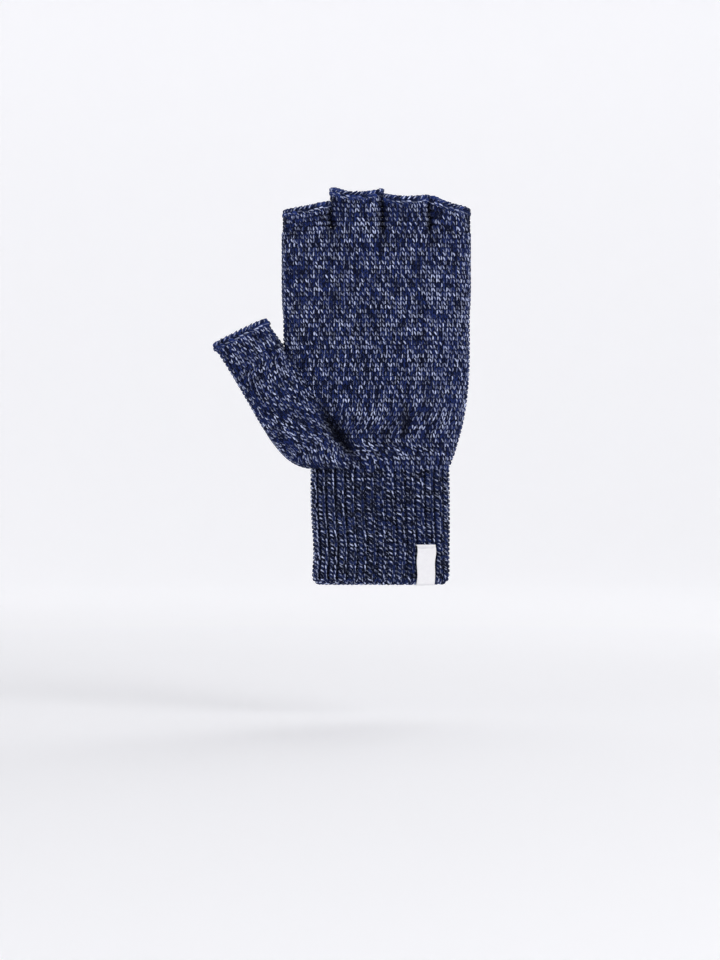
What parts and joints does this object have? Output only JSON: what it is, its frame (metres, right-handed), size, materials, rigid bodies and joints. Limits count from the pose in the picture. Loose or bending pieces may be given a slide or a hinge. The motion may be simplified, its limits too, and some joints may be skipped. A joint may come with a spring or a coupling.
{
  "type": "convertible flip-top mitten",
  "caption": "Knitted fingerless glove with ribbed cuff, open finger stubs and thumb, and a mitten cap folded back behind the knuckles.",
  "frame": {"origin": "middle of the wrist opening, in the plane of the cuff's hem", "axes": "+Z from the hem to the fingers, +X from the thumb to the little finger, +Y from the palm to the back of the hand"},
  "size_m": [0.139, 0.0381, 0.2132],
  "materials": {
    "marl_knit": "navy and off-white marl yarn, stocking stitch, matt and slightly fuzzy",
    "rib_knit": "the same marl yarn in a one-by-one rib, darker in its grooves",
    "edge_yarn": "the same yarn as a rolled bind-off, cast-on edge, seam or loop",
    "label_cloth": "white woven label tape, fine weave, no print",
    "button_horn": "dark horn-effect button, satin, with a lip and four holes",
    "sewing_thread": "navy button thread, slightly waxed"
  },
  "bodies": {
    "glove": {"rib_cuff": "rib_knit", "cast_on_edge": "edge_yarn", "hand_tube": "marl_knit", "thumb_tube": "marl_knit", "thumb_rim": "edge_yarn", "index_stub": "marl_knit", "index_rim": "edge_yarn", "middle_stub": "marl_knit", "middle_rim": "edge_yarn", "ring_stub": "marl_knit", "ring_rim": "edge_yarn", "little_stub": "marl_knit", "little_rim": "edge_yarn", "woven_label": "label_cloth", "label_tack": "label_cloth", "cap_seam": "edge_yarn", "cap_button": "button_horn", "button_thread": "sewing_thread"},
    "cap_back": {"cap_back_panel": "marl_knit", "cap_loop": "edge_yarn"},
    "cap_front": {"cap_front_panel": "marl_knit", "cap_mouth_band": "rib_knit"}
  },
  "joints": [
    {"name": "cap_flip", "type": "hinge", "parent": "glove", "child": "cap_back", "pos_m": [-0.0019, 0.0154, 0.192], "axis": [1, 0, 0], "range_deg": [0, 178]},
    {"name": "cap_open", "type": "hinge", "parent": "cap_back", "child": "cap_front", "pos_m": [-0.0019, 0.0193, 0.097], "axis": [-1, 0, 0], "range_deg": [0, 17.8]}
  ],
  "couplings": [
    {"joint": "cap_open", "follows": "cap_flip", "ratio": 0.1}
  ]
}
